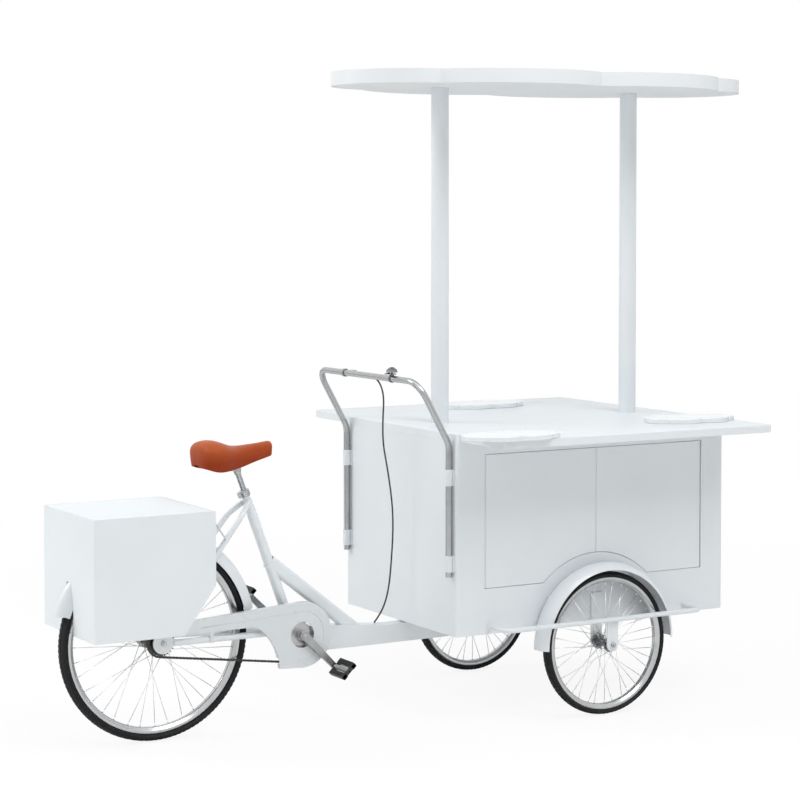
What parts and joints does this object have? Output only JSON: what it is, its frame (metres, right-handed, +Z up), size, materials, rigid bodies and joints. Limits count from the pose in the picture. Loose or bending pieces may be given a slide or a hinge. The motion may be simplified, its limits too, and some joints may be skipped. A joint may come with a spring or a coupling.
{
  "type": "ice cream cart",
  "caption": "Front-loading cargo tricycle with a counter box, cloud-shaped canopy on posts, handlebar on the box and a rear storage box.",
  "frame": {"origin": "on the ground under the middle of the overall length and width", "axes": "+X forward, +Y to the rider's left, +Z up"},
  "size_m": [2.7212, 1.3457, 2.24],
  "materials": {
    "white_panel": "satin white paint",
    "white_metal": "satin white powder coat",
    "white_plastic": "satin white",
    "chrome": "polished",
    "steel": "brushed",
    "dark_steel": "satin black",
    "alloy": "polished",
    "tyre": "matt",
    "black_plastic": "matt",
    "leather": "brown, lightly waxed"
  },
  "bodies": {
    "cart": {"cart_box": "white_panel", "cart_floor": "white_panel", "cart_shelf": "white_panel", "counter_top": "white_panel", "cloud_boards": "white_panel", "canopy_posts": "white_metal", "post_sockets": "white_metal", "canopy": "white_plastic", "canopy_panel": "white_plastic", "handlebar": "chrome", "handlebar_clamps": "white_metal", "brake_perch": "black_plastic", "bell_clamp": "black_plastic", "bell_dome": "chrome", "guard_bars": "white_metal", "fork_plates": "white_metal", "front_axles": "steel", "front_fenders": "white_metal", "turntable_plate": "steel", "kingpin": "steel", "door_pins": "steel", "brake_cable": "black_plastic"},
    "door_rear": {"door_rear": "white_panel"},
    "door_front": {"door_front": "white_panel"},
    "brake_lever": {"brake_lever": "alloy"},
    "bell_lever": {"bell_lever": "black_plastic"},
    "front_wheel_right": {"front_right_tyre": "tyre", "front_right_rim": "alloy", "front_right_hub": "steel"},
    "front_wheel_left": {"front_left_tyre": "tyre", "front_left_rim": "alloy", "front_left_hub": "steel"},
    "frame": {"main_beam": "white_metal", "seat_tube": "white_metal", "frame_brace": "white_metal", "chain_stays": "white_metal", "seat_stays": "white_metal", "rear_axle": "steel", "rear_fender": "white_metal", "chain": "dark_steel", "chain_case": "white_plastic", "rear_box": "white_panel", "lid_pins": "steel", "box_struts": "dark_steel", "seat_clamp": "steel"},
    "rear_box_lid": {"rear_box_lid": "white_panel"},
    "rear_wheel": {"rear_tyre": "tyre", "rear_rim": "alloy", "rear_hub": "steel", "rear_sprocket": "dark_steel"},
    "crank": {"crank_spindle": "steel", "crank_arms": "alloy", "chainring": "dark_steel"},
    "pedal_right": {"pedal_right": "black_plastic"},
    "pedal_left": {"pedal_left": "black_plastic"},
    "seat": {"seat_post": "chrome", "saddle_clamp": "dark_steel", "saddle": "leather"}
  },
  "joints": [
    {"name": "steering", "type": "hinge", "parent": "cart", "child": "frame", "pos_m": [0.50871, 0, 0.275], "axis": [0, 0, 1], "range_deg": [-35, 35], "deforming": ["brake_cable"]},
    {"name": "front_wheel_right_spin", "type": "hinge", "parent": "cart", "child": "front_wheel_right", "pos_m": [0.50871, -0.433, 0.25], "axis": [0, 1, 0], "continuous": true},
    {"name": "front_wheel_left_spin", "type": "hinge", "parent": "cart", "child": "front_wheel_left", "pos_m": [0.50871, 0.433, 0.25], "axis": [0, 1, 0], "continuous": true},
    {"name": "rear_wheel_spin", "type": "hinge", "parent": "frame", "child": "rear_wheel", "pos_m": [-1.00879, 0, 0.336], "axis": [0, 1, 0], "continuous": true, "deforming": ["chain"]},
    {"name": "crank_spin", "type": "hinge", "parent": "frame", "child": "crank", "pos_m": [-0.49129, 0, 0.314], "axis": [0, 1, 0], "continuous": true},
    {"name": "pedal_right_spin", "type": "hinge", "parent": "crank", "child": "pedal_right", "pos_m": [-0.37462, -0.1435, 0.19733], "axis": [0, 1, 0], "continuous": true},
    {"name": "pedal_left_spin", "type": "hinge", "parent": "crank", "child": "pedal_left", "pos_m": [-0.60796, 0.1435, 0.43067], "axis": [0, 1, 0], "continuous": true},
    {"name": "seat_height", "type": "slide", "parent": "frame", "child": "seat", "axis": [-0.3478, 0, 0.9376], "range_m": [-0.035, 0.09]},
    {"name": "door_rear_hinge", "type": "hinge", "parent": "cart", "child": "door_rear", "pos_m": [0.05771, -0.3725, 0.7], "axis": [0, 0, -1], "range_deg": [0, 95]},
    {"name": "door_front_hinge", "type": "hinge", "parent": "cart", "child": "door_front", "pos_m": [0.95971, -0.3725, 0.7], "axis": [0, 0, 1], "range_deg": [0, 95]},
    {"name": "rear_lid_hinge", "type": "hinge", "parent": "frame", "child": "rear_box_lid", "pos_m": [-1.29804, 0, 0.77625], "axis": [0, -1, 0], "range_deg": [0, 95]},
    {"name": "brake_lever_pull", "type": "hinge", "parent": "cart", "child": "brake_lever", "pos_m": [-0.17129, 0.15, 1.184], "axis": [0, 0, 1], "range_deg": [0, 12], "stiffness_Nm_per_rad": 4},
    {"name": "bell_lever_flick", "type": "hinge", "parent": "cart", "child": "bell_lever", "pos_m": [-0.21429, -0.18, 1.2037], "axis": [0, 0, 1], "range_deg": [0, 25], "stiffness_Nm_per_rad": 0.3}
  ],
  "couplings": [
    {"joint": "crank_spin", "follows": "rear_wheel_spin", "ratio": 0.5}
  ]
}
